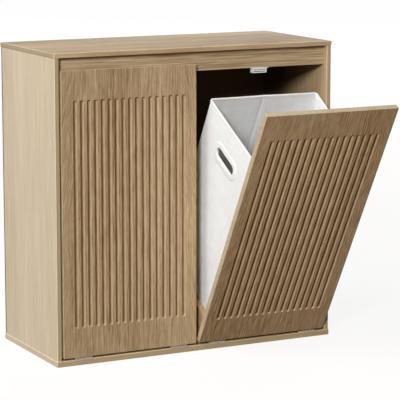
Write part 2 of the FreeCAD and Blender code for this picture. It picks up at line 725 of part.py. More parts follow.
def handle_ring(sign):
    """A round-ended grommet that lines the hand slot in a side of the bag."""
    neck_length = "(handle_length + 2 * handle_neck)"
    neck_height = "(handle_height + 2 * handle_neck)"
    flange_length = "(handle_length + 2 * handle_flange)"
    flange_height = "(handle_height + 2 * handle_flange)"
    wall_outer = f"({BAG_WIDTH} / 2)"
    low_x = f"{wall_outer} - bag_wall" if sign == "+" else f"- {wall_outer}"
    inner_x = f"{low_x} - handle_flange_thickness"
    outer_x = f"{low_x} + bag_wall"
    ring = fuse([
        stadium(neck_length, neck_height, "bag_wall", (low_x, HANDLE_Y, HANDLE_Z)),
        stadium(flange_length, flange_height, "handle_flange_thickness", (inner_x, HANDLE_Y, HANDLE_Z)),
        stadium(flange_length, flange_height, "handle_flange_thickness", (outer_x, HANDLE_Y, HANDLE_Z)),
    ])
    through = "bag_wall + 2 * handle_flange_thickness"
    slot = stadium("handle_length", "handle_height", through, (inner_x, HANDLE_Y, HANDLE_Z))
    mouth = stadium(neck_length, neck_height, "bag_wall", (low_x, HANDLE_Y, HANDLE_Z))
    return cut(ring, [slot]), mouth


def build_bag(unit):
    """The stiffened fabric bag: four walls, a base, a bound rim and two handle grommets."""
    left_x = f"(- {BAG_WIDTH} / 2)"
    wall_height = f"({BAG_WALL_TOP} - {BAG_BOTTOM})"
    between = f"({BAG_DEPTH} - 2 * bag_wall)"
    for name, y in (("front", BAG_FRONT), ("back", f"{BAG_BACK} - bag_wall")):
        at = (left_x, y, BAG_BOTTOM)
        wall = box((BAG_WIDTH, "bag_wall", wall_height), at)
        node(f"{unit.name}_bag_{name}_wall", unit.seat(wall, at))
    rings = []
    for name, sign, x in (("left", "-", left_x), ("right", "+", f"{BAG_WIDTH} / 2 - bag_wall")):
        ring, mouth = handle_ring(sign)
        rings.append(ring)
        wall = box(("bag_wall", between, wall_height), (x, f"{BAG_FRONT} + bag_wall", BAG_BOTTOM))
        node(f"{unit.name}_bag_{name}_wall", unit.seat(cut(wall, [mouth])))
    at = (f"{left_x} + bag_wall", f"{BAG_FRONT} + bag_wall", BAG_BOTTOM)
    base = box((f"{BAG_WIDTH} - 2 * bag_wall", between, "bag_wall"), at)
    node(f"{unit.name}_bag_base", unit.seat(base, at))
    lap, inset = "bag_rim_lap", "(bag_wall + bag_rim_lap)"
    outer = box(
        (f"{BAG_WIDTH} + 2 * {lap}", f"{BAG_DEPTH} + 2 * {lap}", "bag_rim_height"),
        (f"{left_x} - {lap}", f"{BAG_FRONT} - {lap}", BAG_WALL_TOP))
    inner = box(
        (f"{BAG_WIDTH} - 2 * {inset}", f"{BAG_DEPTH} - 2 * {inset}", "bag_rim_height"),
        (f"{left_x} + {inset}", f"{BAG_FRONT} + {inset}", BAG_WALL_TOP))
    node(f"{unit.name}_bag_rim", unit.seat(cut(outer, [inner])))
    node(f"{unit.name}_bag_handle_rings", unit.seat(group(rings)))


def build_door(unit):
    """The fluted door with its hinge leaves, strike plate and tray dowels."""
    dowels, dowel_bores = tray_dowels()
    leaves, leaf_screws, leaf_bores = [], [], []
    for centre_x in hinge_centres():
        leaf, screws, bores = hinge_leaf(centre_x, 1, "+")
        leaves.append(leaf)
        leaf_screws += screws
        leaf_bores += bores
    strike_z = f"({CATCH_MIDDLE_Z} - {PIVOT_Z})"
    strike_at = ("0", f"{DOOR_BACK} + {STRIKE_THICKNESS}", strike_z)
    strike_bores = screw_hole(strike_at, "-y")
    plate = box(
        ("strike_length", STRIKE_THICKNESS, "strike_height"),
        ("- strike_length / 2", DOOR_BACK, f"{strike_z} - strike_height / 2"))
    door = eased_board(
        (DOOR_WIDTH, "door_thickness", DOOR_HEIGHT), (f"- {DOOR_WIDTH} / 2", DOOR_FRONT, DOOR_BOTTOM))
    add_flutes(door)
    node(f"{unit.name}_door_panel", unit.seat(cut(door, dowel_bores + leaf_bores + strike_bores)))
    node(f"{unit.name}_door_hinge_leaves", unit.seat(group(leaves)))
    node(f"{unit.name}_door_hinge_screws", unit.seat(group(leaf_screws)))
    node(f"{unit.name}_strike_plate", unit.seat(cut(plate, strike_bores)))
    node(f"{unit.name}_strike_screw", unit.seat(screw(strike_at, "-y")))
    node(f"{unit.name}_tray_dowels", unit.seat(group(dowels)))
    return dowel_bores


def check_document():
    """Stop if any object failed or any sub-part isn't sound."""
    failed = [thing.Name for thing in doc.Objects if {"Invalid", "Error"} & set(thing.State)]
    if failed:
        raise RuntimeError(f"failed objects: {failed}")
    for thing in nodes:
        if thing.Shape.isNull() or not thing.Shape.isValid() or not thing.Shape.Solids:
            raise RuntimeError(f"unsound sub-part: {thing.Label}")


def write_parts():
    os.makedirs("parts", exist_ok=True)
    for thing in nodes:
        thing.Shape.exportStep(f"parts/{thing.Label}.step")


build_carcass()
for tilt_out in UNITS:
    build_tray(tilt_out, build_door(tilt_out))
    build_bag(tilt_out)
doc.recompute()
check_document()
write_parts()
print(f"{len(nodes)} sub-parts")
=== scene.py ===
import json
import math
from typing import NamedTuple

import bmesh
import bpy
from mathutils import Matrix, Vector, noise


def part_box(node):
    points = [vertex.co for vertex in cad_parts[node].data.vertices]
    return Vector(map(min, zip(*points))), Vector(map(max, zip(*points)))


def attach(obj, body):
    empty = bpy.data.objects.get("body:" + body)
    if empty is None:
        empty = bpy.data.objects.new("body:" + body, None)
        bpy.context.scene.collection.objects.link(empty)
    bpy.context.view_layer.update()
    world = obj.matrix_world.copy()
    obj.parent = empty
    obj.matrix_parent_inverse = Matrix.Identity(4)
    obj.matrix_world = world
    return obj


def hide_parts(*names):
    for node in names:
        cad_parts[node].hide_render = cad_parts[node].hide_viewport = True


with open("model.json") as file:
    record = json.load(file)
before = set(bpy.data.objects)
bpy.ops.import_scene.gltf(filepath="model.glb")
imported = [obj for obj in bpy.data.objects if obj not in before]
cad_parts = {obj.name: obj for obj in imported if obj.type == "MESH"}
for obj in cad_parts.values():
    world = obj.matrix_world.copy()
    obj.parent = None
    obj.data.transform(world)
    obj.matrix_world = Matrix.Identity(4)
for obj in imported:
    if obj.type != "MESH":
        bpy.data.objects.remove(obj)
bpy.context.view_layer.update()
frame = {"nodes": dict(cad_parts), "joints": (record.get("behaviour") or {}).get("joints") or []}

MM = 0.001
NODES = frame["nodes"]
JOINTS = {joint["child"]: joint for joint in frame["joints"]}
LEFT_HINGE = Vector(JOINTS["left_bin"]["pos_m"])
RIGHT_HINGE = Vector(JOINTS["right_bin"]["pos_m"])
REST_TILT = math.radians(-JOINTS["right_bin"]["range_deg"][0])
DOOR_LOW, DOOR_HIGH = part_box("left_door_panel")
DOOR_MIDDLE = (DOOR_LOW + DOOR_HIGH) / 2
HALF_DOOR = (DOOR_HIGH.x - DOOR_LOW.x) / 2
HALF_DOOR_HEIGHT = (DOOR_HIGH.z - DOOR_LOW.z) / 2


def bag_frame():
    """The left bag's CAD walls as spans from the hinge axis, in metres."""
    low = Vector((math.inf,) * 3)
    high = Vector((-math.inf,) * 3)
    for wall in ("front", "back", "left", "right"):
        first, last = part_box(f"left_bag_{wall}_wall")
        low = Vector(map(min, low, first))
        high = Vector(map(max, high, last))
    ring_low, ring_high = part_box("left_bag_handle_rings")
    ring_centre = (ring_low + ring_high) / 2
    rim_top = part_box("left_bag_rim")[1].z
    return low - LEFT_HINGE, high - LEFT_HINGE, ring_centre - LEFT_HINGE, rim_top - LEFT_HINGE.z


BAG_LOW, BAG_HIGH, RING_CENTRE, RIM_TOP = bag_frame()
BAG_MIDDLE = (BAG_LOW + BAG_HIGH) / 2


# -------------------------------------------------------------------- nodes

class Nodes:
    """A node tree, with short ways to add nodes to it and to join them."""

    def __init__(self, tree):
        self.tree = tree

    def feed(self, socket, value):
        """Gives an input a value, or joins another node's output to it."""
        if isinstance(value, bpy.types.NodeSocket):
            self.tree.links.new(value, socket)
        else:
            socket.default_value = value

    def add(self, kind, values=(), **settings):
        """A node, with each input given by name or place: a value, or another node's output."""
        made = self.tree.nodes.new("ShaderNode" + kind)
        for key, value in settings.items():
            setattr(made, key, value)
        pairs = values.items() if isinstance(values, dict) else enumerate(values)
        for key, value in pairs:
            self.feed(made.inputs[key], value)
        return made

    def math(self, operation, *values, clamp=False):
        return self.add("Math", values, operation=operation, use_clamp=clamp).outputs[0]

    def chain(self, operation, first, *rest):
        """One operation worked through any number of values."""
        for value in rest:
            first = self.math(operation, first, value)
        return first

    def size(self, value):
        return self.math("ABSOLUTE", value)

    def vector(self, operation, *values):
        return self.add("VectorMath", values, operation=operation).outputs[0]

    def measure(self, operation, *values):
        """A number got from vectors, such as a length or a dot product."""
        return self.add("VectorMath", values, operation=operation).outputs["Value"]

    def joined(self, x, y, z):
        return self.add("CombineXYZ", [x, y, z]).outputs[0]

    def axes(self, place):
        return self.add("SeparateXYZ", [place]).outputs

    def spread(self, value, low, high, to_low=0.0, to_high=1.0, soft=False):
        """A value's span mapped to another span, clamped."""
        values = [value, low, high, to_low, to_high]
        return self.add("MapRange", values, interpolation_type="SMOOTHSTEP" if soft else "LINEAR").outputs[0]


def shade(colour, amount):
    """A colour made darker or lighter, a little warmer as it gets darker."""
    warmth = (0.86, 1.0, 1.22)
    return tuple(channel * (1 + amount * weight) for channel, weight in zip(colour, warmth))


class Paint(Nodes):
    """A material with one shader, whose own sockets hold the values that are the same all over."""

    def __init__(self, name, **shader):
        self.material = bpy.data.materials.new(name)
        self.material.use_nodes = True
        super().__init__(self.material.node_tree)
        self.shader = self.tree.nodes["Principled BSDF"]
        for socket, value in shader.items():
            self.shader.inputs[socket.replace("_", " ")].default_value = value

    def object_place(self):
        return self.add("TexCoord").outputs["Object"]

    def object_normal(self):
        return self.add("TexCoord").outputs["Normal"]

    def noise(self, place, scale, detail=2.0, roughness=0.5):
        """Noise from 0 to 1, with its waves a metre given once or for each axis."""
        scales = (scale,) * 3 if isinstance(scale, float) else scale
        stretched = self.vector("MULTIPLY", place, scales)
        values = {"Vector": stretched, "Scale": 1.0, "Detail": detail, "Roughness": roughness}
        return self.add("TexNoise", values).outputs[0]

    def sum(self, *terms):
        """0.5 plus each (noise, weight), the noise counted from its middle."""
        total = 0.5
        for value, weight in terms:
            total = self.math("ADD", self.math("MULTIPLY_ADD", value, weight, -0.5 * weight), total)
        return total

    def ramp(self, factor, dark, pale):
        """A colour from dark to pale as the factor goes from 0 to 1."""
        made = self.add("ValToRGB", [factor])
        for element, colour in zip(made.color_ramp.elements, (dark, pale)):
            element.color = (*colour, 1.0)
        return made.outputs[0]

    def toned(self, factor, colour, darker, paler):
        """A colour made darker to paler as the factor goes from 0 to 1."""
        return self.ramp(factor, shade(colour, -darker), shade(colour, paler))

    def mix(self, factor, first, second, blend="MIX"):
        first, second = (value if isinstance(value, bpy.types.NodeSocket) else (*value, 1.0)
                         for value in (first, second))
        values = {0: factor, 6: first, 7: second}
        return self.add("Mix", values, data_type="RGBA", blend_type=blend).outputs[2]

    def worn_edges(self, radius):
        """0 on flat faces to 1 on arrises and within about a radius of them."""
        rounded = self.add("Bevel", {"Radius": radius}, samples=4).outputs[0]
        true = self.add("NewGeometry").outputs["True Normal"]
        return self.spread(self.measure("DOT_PRODUCT", rounded, true), 0.97, 0.80)

    def finish(self, colour, roughness, height, strength, distance):
        """The material, with its colour, roughness and bump joined to the shader."""
        bump = self.add("Bump", {"Height": height, "Strength": strength, "Distance": distance}).outputs[0]
        for socket, value in (("Base Color", colour), ("Roughness", roughness), ("Normal", bump)):
            self.feed(self.shader.inputs[socket], value)
        return self.material


# --------------------------------------------------------------------- wood

SIDE_TONE = (0.705, 0.583, 0.421)
TOP_TONE = (0.500, 0.385, 0.256)
LEFT_DOOR_TONE = (0.455, 0.319, 0.181)
# Painted light: the right door's tone is tuned to the light on the open, tilted door
RIGHT_DOOR_TONE = (0.464, 0.303, 0.160)
RAIL_TONE = (0.512, 0.381, 0.231)
WARM_TONE = (0.550, 0.390, 0.222)
FRONT_TONE = (0.480, 0.358, 0.208)
INNER_TONE = (0.585, 0.412, 0.234)
# Painted shade on the side panels' faces inside the cabinet, darker towards the back
CABINET_SHADE_TONE = (0.070, 0.042, 0.024)
TAPE_TONE = (0.55, 0.45, 0.305)
# Painted highlight on the flutes' sides and lower ends
FLUTE_HIGHLIGHT_TONE = (0.570, 0.430, 0.273)
# Painted shade in the flutes' bottoms and upper ends
FLUTE_SHADE_TONE = (0.115, 0.041, 0.009)
TONE_MIDDLE = 0.45
TONE_REACH = 0.62

# Waves a metre across the grain, through the board and along the grain
DRIFT = (4.5, 4.5, 2.4)
BROAD = (8.0, 8.0, 0.7)
BAND = (70.0, 70.0, 2.4)
LONG_FIBRE = (330.0, 330.0, 7.0)
SHORT_FIBRE = (380.0, 380.0, 18.0)
FLECK = (600.0, 600.0, 60.0)
VESSEL = (1150.0, 1150.0, 30.0)
RING_RIPPLE = (22.0, 22.0, 2.6)
LEAN_PATCH = (2.0, 1.0, 5.0)
FIBRE_DETAIL = (3.0, 0.6)
FLECK_DETAIL = (2.0, 0.7)

# Shares of broad, band, fibre, late wood and, on a door, fleck in the tone
BOARD_WEIGHTS = (1.0, 0.45, 1.7, -0.16)
DOOR_WEIGHTS = (0.8, 0.25, 1.45, -0.16, 0.5)

# Where each piece is cut from the log, for every step of its seed
LOG_STEP = Vector((0.37, 0.21, 0.53))

# Parts of a ring over which late wood comes, late wood ends and early wood thins out
RING_PITCH = 7.5 * MM
LATE_COMES = (0.25, 0.88)
LATE_ENDS = (0.9, 1.0)
EARLY_SPAN = (0.55, 0.1)

# Open vessels, with their shares in late wood and on a board's edges
VESSEL_SPAN = (0.55, 0.68)
LATE_PORES = 0.25
EDGE_PORES = 0.2
PORE_SHARE = 0.45

# A door's leaning fibres: sideways for each metre up, and where on the door
LEAN = 0.25
LEAN_SHARE = 0.85
LEAN_PATCH_SPAN = (0.40, 0.52)
LEAN_OUTER_SPAN = (0.62, 0.86)

# Parts of a face's direction along an axis
FACING_SPAN = (0.55, 0.85)
EDGE_SPAN = (0.45, 0.9)
ARRIS_SPAN = (0.985, 0.9)
TAPE_TURN_SPAN = (0.97, 0.8)
FLUTE_BOTTOM_SPAN = (-0.91, -0.985)
FLUTE_UPPER_SPAN = (-0.20, -0.55)
FLUTE_SIDE_SPAN = (-0.82, -0.50)

# Metres in from a door's edge and its front, and behind the middle of a side
TAPE_SPAN = (2.0 * MM, 1.5 * MM)
FLUTE_LIP_SPAN = (0.15 * MM, 0.6 * MM)
FLUTE_FLOOR_SPAN = (8.0 * MM, 7.0 * MM)
CABINET_SHADE_SPAN = (-0.16, 0.08)

CABINET_SHADE_SHARE = 0.82
EDGE_SWING = 0.3
# How strong the painted shade in the flutes usually is, and how much wider it gets as it gets stronger
USUAL_FLUTE_SHADE = 0.84
FLUTE_SHADE_WIDENING = 0.4

# Worn arrises, on a board also a painted highlight: their share from dark to pale fibres, and how much paler
# they are, up to the palest
WEAR_RADIUS = 1.2 * MM
WEAR_FIBRE_SPAN = (0.25, 0.6)
DOOR_WEAR = (0.0, 0.7)
BOARD_WEAR_AND_HIGHLIGHT = (0.5, 1.0)
DOOR_LIFT = 0.45
BOARD_LIFT = 0.7
PALEST = 0.85


def upright(paint, vector, centre):
    """A place or direction on the open unit, turned back to where it is with the door closed."""
    values = {"Vector": vector, "Center": centre, "Angle": -REST_TILT}
    return paint.add("VectorRotate", values, rotation_type="X_AXIS").outputs[0]


def wood_axes(paint, grain, tilted):
    """A place and a face direction, each as (across the grain, through the board, along the grain)."""
    place, facing = paint.object_place(), paint.object_normal()
    if tilted:
        place, facing = upright(paint, place, RIGHT_HINGE), upright(paint, facing, (0.0, 0.0, 0.0))
    order = ["XYZ".index(letter) for letter in grain]
    place_parts, facing_parts = paint.axes(place), paint.axes(facing)
    return [place_parts[index] for index in order], [facing_parts[index] for index in order]


def wood_place(paint, parts, seed, wander):
    """Where in the log a point lies, with its lines wavering by wander metres."""
    across, through, along = parts
    place = paint.joined(across, paint.math("MULTIPLY", through, 0.25), along)
    place = paint.vector("ADD", place, LOG_STEP * seed)
    drift = paint.math("MULTIPLY_ADD", paint.noise(place, DRIFT), wander, -0.5 * wander)
    return paint.vector("ADD", place, paint.joined(drift, 0.0, 0.0))


def door_fibre(paint, parts, place, fibre, seed, middle):
    """A door's fibres: upright, but in patches towards its two sides leaning inwards as they rise."""
    side = paint.math("DIVIDE", paint.math("SUBTRACT", parts[0], middle), HALF_DOOR)
    sheared = paint.chain("MULTIPLY", paint.math("SIGN", side), parts[2], LEAN)
    shifted = paint.vector("ADD", place, paint.joined(sheared, 0.0, 0.0))
    leaning = paint.noise(shifted, SHORT_FIBRE, *FIBRE_DETAIL)
    patch = paint.noise(paint.joined(paint.size(side), seed * 1.7, parts[2]), LEAN_PATCH, 1.0)
    patch = paint.spread(patch, *LEAN_PATCH_SPAN, soft=True)
    outer = paint.spread(paint.size(side), *LEAN_OUTER_SPAN, soft=True)
    share = paint.chain("MULTIPLY", patch, outer, LEAN_SHARE)
    return paint.math("MULTIPLY_ADD", paint.math("SUBTRACT", leaning, fibre), share, fibre)


def growth_rings(paint, place):
    """The part of a growth ring that a point lies in: 0 in open early wood to 1 in dense late wood."""
    across, through, _ = paint.axes(place)
    turns = paint.math("DIVIDE", paint.math("MULTIPLY_ADD", through, 0.35, across), RING_PITCH)
    ripple = paint.math("MULTIPLY", paint.noise(place, RING_RIPPLE), 1.8)
    return paint.math("FRACT", paint.math("ADD", turns, ripple))


def late_wood(paint, ring):
    """1 in dense late wood, falling to 0 at the step to the next ring."""
    return paint.math("SUBTRACT", paint.spread(ring, *LATE_COMES), paint.spread(ring, *LATE_ENDS))


def pores(paint, place, ring, edge):
    """1 in open vessels, which crowd in early wood and are fewer on a board's edges."""
    vessel = paint.spread(paint.noise(place, VESSEL, 1.0), *VESSEL_SPAN, soft=True)
    early = paint.spread(ring, *EARLY_SPAN)
    pore = paint.math("MULTIPLY", vessel, paint.math("MULTIPLY_ADD", early, 1.0 - LATE_PORES, LATE_PORES))
    return paint.math("MULTIPLY", pore, paint.math("MULTIPLY_ADD", edge, EDGE_PORES - 1.0, 1.0))


def calmed(paint, tone, edge):
    """A tone kept from 0 to 1, with less swing on a board's edges."""
    swing = paint.math("MULTIPLY", paint.math("SUBTRACT", tone, TONE_MIDDLE),
                       paint.math("MULTIPLY_ADD", edge, EDGE_SWING - 1.0, 1.0))
    return paint.math("ADD", swing, TONE_MIDDLE, clamp=True)


def facing_share(paint, way):
    """1 on faces that look along a signed axis, such as -Y, and 0 on the rest."""
    part = paint.axes(paint.object_normal())["XYZ".index(way[1])]
    sign = 1.0 if way[0] == "+" else -1.0
    return paint.spread(part, *(sign * level for level in FACING_SPAN))


def board_edges(paint, facing):
    """1 on a board's edges and ends, 0 on its two faces."""
    return paint.spread(paint.math("MAXIMUM", paint.size(facing[0]), paint.size(facing[2])), *EDGE_SPAN)


def arrises(paint, facing):
    """1 on the rounded arrises between a board's flat faces, 0 on the faces."""
    largest = paint.chain("MAXIMUM", *(paint.size(part) for part in facing))
    return paint.spread(largest, *ARRIS_SPAN)


def wear_and_highlight_share(paint, facing, fibre, door):
    """How far arrises are worn and, on a board, painted with a highlight, in patches that follow the fibres.
    A door's are sharp, a board's rounded.
    """
    worn = paint.worn_edges(WEAR_RADIUS) if door else arrises(paint, facing)
    patchy = paint.spread(fibre, *WEAR_FIBRE_SPAN, *(DOOR_WEAR if door else BOARD_WEAR_AND_HIGHLIGHT))
    return paint.math("MULTIPLY", worn, patchy)


def door_edges(paint, parts, facing, middle):
    """1 on a door's four edges and their arrises, 0 on its faces."""
    across = paint.size(paint.math("SUBTRACT", parts[0], middle))
    along = paint.size(paint.math("SUBTRACT", parts[2], DOOR_MIDDLE.z))
    beside = paint.spread(across, *(HALF_DOOR - inset for inset in TAPE_SPAN))
    above = paint.spread(along, *(HALF_DOOR_HEIGHT - inset for inset in TAPE_SPAN))
    turned = paint.spread(paint.size(facing[1]), *TAPE_TURN_SPAN)
    return paint.math("MULTIPLY", paint.math("MAXIMUM", beside, above), turned)


def flute_parts(paint, parts, facing, flute_shade):
    """Two shares of a door's front: painted shade on the flutes' bottoms and upper ends, which is wider when
    it is stronger, and painted highlight on their sides and lower ends."""
    wider = FLUTE_SHADE_WIDENING * (flute_shade - USUAL_FLUTE_SHADE)
    past_lip = paint.spread(parts[1], *(DOOR_LOW.y + depth for depth in FLUTE_LIP_SPAN))
    above_floor = paint.spread(parts[1], *(DOOR_LOW.y + depth for depth in FLUTE_FLOOR_SPAN))
    inside = paint.math("MULTIPLY", past_lip, above_floor)
    bottom = paint.spread(facing[1], *(wider + level for level in FLUTE_BOTTOM_SPAN))
    upper = paint.spread(facing[2], *FLUTE_UPPER_SPAN)
    side = paint.spread(facing[1], *FLUTE_SIDE_SPAN)
    steep = paint.math("MULTIPLY", side, paint.math("SUBTRACT", 1.0, upper))
    return (paint.math("MULTIPLY", inside, paint.math("MAXIMUM", bottom, upper)),
            paint.math("MULTIPLY", inside, steep))


def dressed_door(paint, base, tone, reach, parts, facing, middle, flute_shade):
    """A door's colour with painted highlights on its flutes' sides and lower ends, painted shade in their
    bottoms and upper ends, and tape on its edges.
    """
    painted_shade, painted_highlight = flute_parts(paint, parts, facing, flute_shade)
    # Painted highlight on the flutes' sides and lower ends
    base = paint.mix(painted_highlight, base, paint.toned(tone, FLUTE_HIGHLIGHT_TONE, reach, reach))
    # Painted shade in the flutes' bottoms and upper ends
    base = paint.mix(paint.math("MULTIPLY", painted_shade, flute_shade), base, FLUTE_SHADE_TONE)
    tape = paint.toned(tone, TAPE_TONE, reach, reach)
    return paint.mix(door_edges(paint, parts, facing, middle), base, tape)


def oak(name, grain, colour, seed, tilted=False, wander=0.02, contrast=1.0, faces=None, inside=None,
        flute_shade=0.0):
    """Open-pored oak. Faces that look along a way named in faces have that tone instead, and the face that
    looks inside the cabinet gets painted shade, darker towards the back. Painted shade in the flutes' bottoms
    makes it a door, which also has paler edge tape and painted highlights on its flutes' sides."""
    door = flute_shade > 0.0
    paint = Paint(name, Specular_IOR_Level=0.06)
    parts, facing = wood_axes(paint, grain, tilted)
    middle = (RIGHT_HINGE if tilted else LEFT_HINGE).x
    place = wood_place(paint, parts, seed, wander)
    edge = board_edges(paint, facing)
    ring = growth_rings(paint, place)
    late = late_wood(paint, ring)
    fibre = paint.noise(place, SHORT_FIBRE if door else LONG_FIBRE, *FIBRE_DETAIL)
    if door:
        fibre = door_fibre(paint, parts, place, fibre, seed, middle)
    layers = [paint.noise(place, BROAD), paint.noise(place, BAND, *FIBRE_DETAIL), fibre, late]
    if door:
        layers.append(paint.noise(place, FLECK, *FLECK_DETAIL))
    tone = calmed(paint, paint.sum(*zip(layers, DOOR_WEIGHTS if door else BOARD_WEIGHTS)), edge)

    reach = TONE_REACH * contrast
    base = paint.toned(tone, colour, reach, reach)
    for way, other in (faces or {}).items():
        base = paint.mix(facing_share(paint, way), base, paint.toned(tone, other, reach, reach))
    if inside:
        # Painted shade on the face inside the cabinet, darker towards the back
        depth = paint.spread(parts[0], *CABINET_SHADE_SPAN, 0.0, CABINET_SHADE_SHARE)
        base = paint.mix(paint.math("MULTIPLY", depth, facing_share(paint, inside)), base, CABINET_SHADE_TONE)
    if door:
        base = dressed_door(paint, base, tone, reach, parts, facing, middle, flute_shade)

    lift = DOOR_LIFT if door else min(BOARD_LIFT, PALEST / max(colour) - 1.0)
    # Paler arrises: wear, and on a board also a painted highlight
    base = paint.mix(wear_and_highlight_share(paint, facing, fibre, door), base, shade(colour, lift))
    pore = pores(paint, place, ring, edge)
    base = paint.mix(paint.math("MULTIPLY", pore, PORE_SHARE * contrast), base, shade(colour, -TONE_REACH))
    rough = paint.spread(paint.sum((late, -0.5), (fibre, 0.6)), 0.2, 0.9, 0.52, 0.68)
    height = paint.math("SUBTRACT", paint.math("MULTIPLY", late, 0.25), pore)
    return paint.finish(base, rough, height, 0.3, 0.25 * MM)


def hardboard(name):
    """The back panel: its face inside the cabinet painted dark as shade, brown pressed fibre on the wall
    side.
    """
    paint = Paint(name, Specular_IOR_Level=0.25)
    place = paint.object_place()
    fibre = paint.noise(place, 260.0, 4.0, 0.7)
    cloud = paint.noise(place, 9.0, 3.0)
    tone = paint.sum((fibre, 1.2), (cloud, 0.7))
    outer = paint.ramp(tone, (0.20, 0.128, 0.075), (0.40, 0.285, 0.185))
    # Painted shade: the face inside the cabinet is dark brown
    inner = paint.ramp(tone, (0.085, 0.048, 0.029), (0.200, 0.118, 0.072))
    facing = paint.axes(paint.object_normal())[1]
    base = paint.mix(paint.spread(facing, 0.3, -0.3), outer, inner)
    rough = paint.spread(fibre, 0.25, 0.75, 0.6, 0.85)
    return paint.finish(base, rough, fibre, 0.3, 0.4 * MM)


def beech(name):
    """Dowels and pegs: pale close-grained wood with short flecks."""
    paint = Paint(name, Specular_IOR_Level=0.3)
    place = paint.object_place()
    fleck = paint.noise(place, (500.0, 500.0, 120.0))
    cloud = paint.noise(place, 60.0)
    tone = paint.sum((fleck, 1.4), (cloud, 0.8))
    base = paint.ramp(tone, (0.42, 0.25, 0.13), (0.68, 0.48, 0.30))
    rough = paint.spread(cloud, 0.3, 0.7, 0.5, 0.68)
    return paint.finish(base, rough, fleck, 0.2, 0.3 * MM)


# ------------------------------------------------- metal, plastic and cloth

# Painted shade inside the bag: a little grey at the rim, darker towards the base over the span below the rim
INSIDE_SHADE_TONE = (0.965, 0.96, 0.95)
DEEP_INSIDE_SHADE_TONE = (0.46, 0.45, 0.43)
INSIDE_SHADE_SPAN = (100.0 * MM, 290.0 * MM)
WARP = (360.0, 360.0, 24.0)
WEFT = (24.0, 24.0, 360.0)


def metal(name, colour, rough_low, rough_high, brushed):
    """Plated or cast metal: fine brush lines, cloudy plating, brighter worn arrises."""
    paint = Paint(name, Metallic=1.0)
    place = paint.object_place()
    lines = paint.noise(place, brushed, 2.0, 0.6)
    cloud = paint.noise(place, 140.0, 3.0)
    tone = paint.sum((lines, 0.9), (cloud, 0.9))
    base = paint.toned(tone, colour, 0.22, 0.16)
    base = paint.mix(paint.worn_edges(0.5 * MM), base, shade(colour, 0.3))
    rough = paint.spread(tone, 0.2, 0.8, rough_low, rough_high)
    return paint.finish(base, rough, lines, 0.12, 0.2 * MM)


def moulded(name, colour):
    """Moulded plastic: a fine spark-eroded texture and a slightly uneven gloss."""
    paint = Paint(name, Specular_IOR_Level=0.45)
    place = paint.object_place()
    speck = paint.noise(place, 1500.0)
    cloud = paint.noise(place, 45.0, 3.0)
    tone = paint.sum((speck, 0.4), (cloud, 1.2))
    base = paint.toned(tone, colour, 0.07, 0.04)
    rough = paint.spread(tone, 0.25, 0.75, 0.30, 0.42)
    return paint.finish(base, rough, speck, 0.12, 0.1 * MM)


def bag_inside_shade(paint, place, outer):
    """The outer tone on the bag's outside; inside it painted shade, a little grey at the rim and darker
    towards the base.
    """
    facing = paint.measure("DOT_PRODUCT", paint.vector("SUBTRACT", place, BAG_MIDDLE), paint.object_normal())
    sunk = paint.spread(paint.axes(place)[2], *(RIM_TOP - depth for depth in INSIDE_SHADE_SPAN), soft=True)
    # Painted shade on the inside faces, darker with depth
    inner = paint.mix(1.0, outer, paint.mix(sunk, INSIDE_SHADE_TONE, DEEP_INSIDE_SHADE_TONE), blend="MULTIPLY")
    return paint.mix(paint.spread(facing, 0.02, -0.02), outer, inner)


def woven(name, colour, thread, depth, inside_shaded=False):
    """Plain-weave cloth: crossed threads of one width, with thick runs of warp and weft, faintly clouded."""
    paint = Paint(name, Specular_IOR_Level=0.2, Sheen_Weight=0.12, Sheen_Roughness=0.5)
    place = paint.object_place()
    slub = paint.noise(place, 220.0)
    cloud = paint.noise(place, 11.0, 3.0)
    warp = paint.noise(place, WARP, 2.0, 0.6)
    weft = paint.noise(place, WEFT, 2.0, 0.6)
    waves = []
    for part in paint.axes(place):
        turn = paint.math("MULTIPLY_ADD", part, math.pi / thread, paint.math("MULTIPLY", slub, 0.9))
        waves.append(paint.size(paint.math("SINE", turn)))
    weave = paint.math("DIVIDE", paint.chain("ADD", *waves), 3.0)
    tone = paint.sum((weave, 0.5), (slub, 0.4), (cloud, 0.5), (warp, 1.0), (weft, 1.0))
    base = paint.toned(tone, colour, 0.13, 0.05)
    if inside_shaded:
        base = bag_inside_shade(paint, place, base)
    rough = paint.spread(weave, 0.3, 0.9, 0.95, 0.78)
    height = paint.math("ADD", weave, paint.math("ADD", warp, weft))
    return paint.finish(base, rough, height, 0.35, depth)


# ----------------------------------------------------------------- finishes

BEECH = beech("beech_turned")
HINGE_STEEL = metal("steel_hinge", (0.335, 0.318, 0.290), 0.34, 0.50, (90.0, 1600.0, 1600.0))
BRIGHT_STEEL = metal("steel_bright", (0.68, 0.675, 0.66), 0.22, 0.36, 900.0)
POLE_STEEL = metal("steel_pole", (0.05, 0.05, 0.053), 0.35, 0.50, 900.0)
ZINC = metal("zinc_casting", (0.55, 0.55, 0.56), 0.40, 0.60, 600.0)
MAGNET = metal("magnet_nickel", (0.74, 0.735, 0.72), 0.22, 0.36, 700.0)
CATCH_PLASTIC = moulded("plastic_catch", (0.88, 0.88, 0.87))
RING_PLASTIC = moulded("plastic_ring", (0.94, 0.945, 0.94))
FABRIC = woven("fabric_bag", (0.895, 0.920, 0.942), 0.9 * MM, 0.22 * MM, inside_shaded=True)
BINDING = woven("fabric_binding", (0.92, 0.92, 0.91), 0.6 * MM, 0.16 * MM)
THREAD = woven("thread_white", (0.82, 0.815, 0.795), 0.25 * MM, 0.1 * MM)

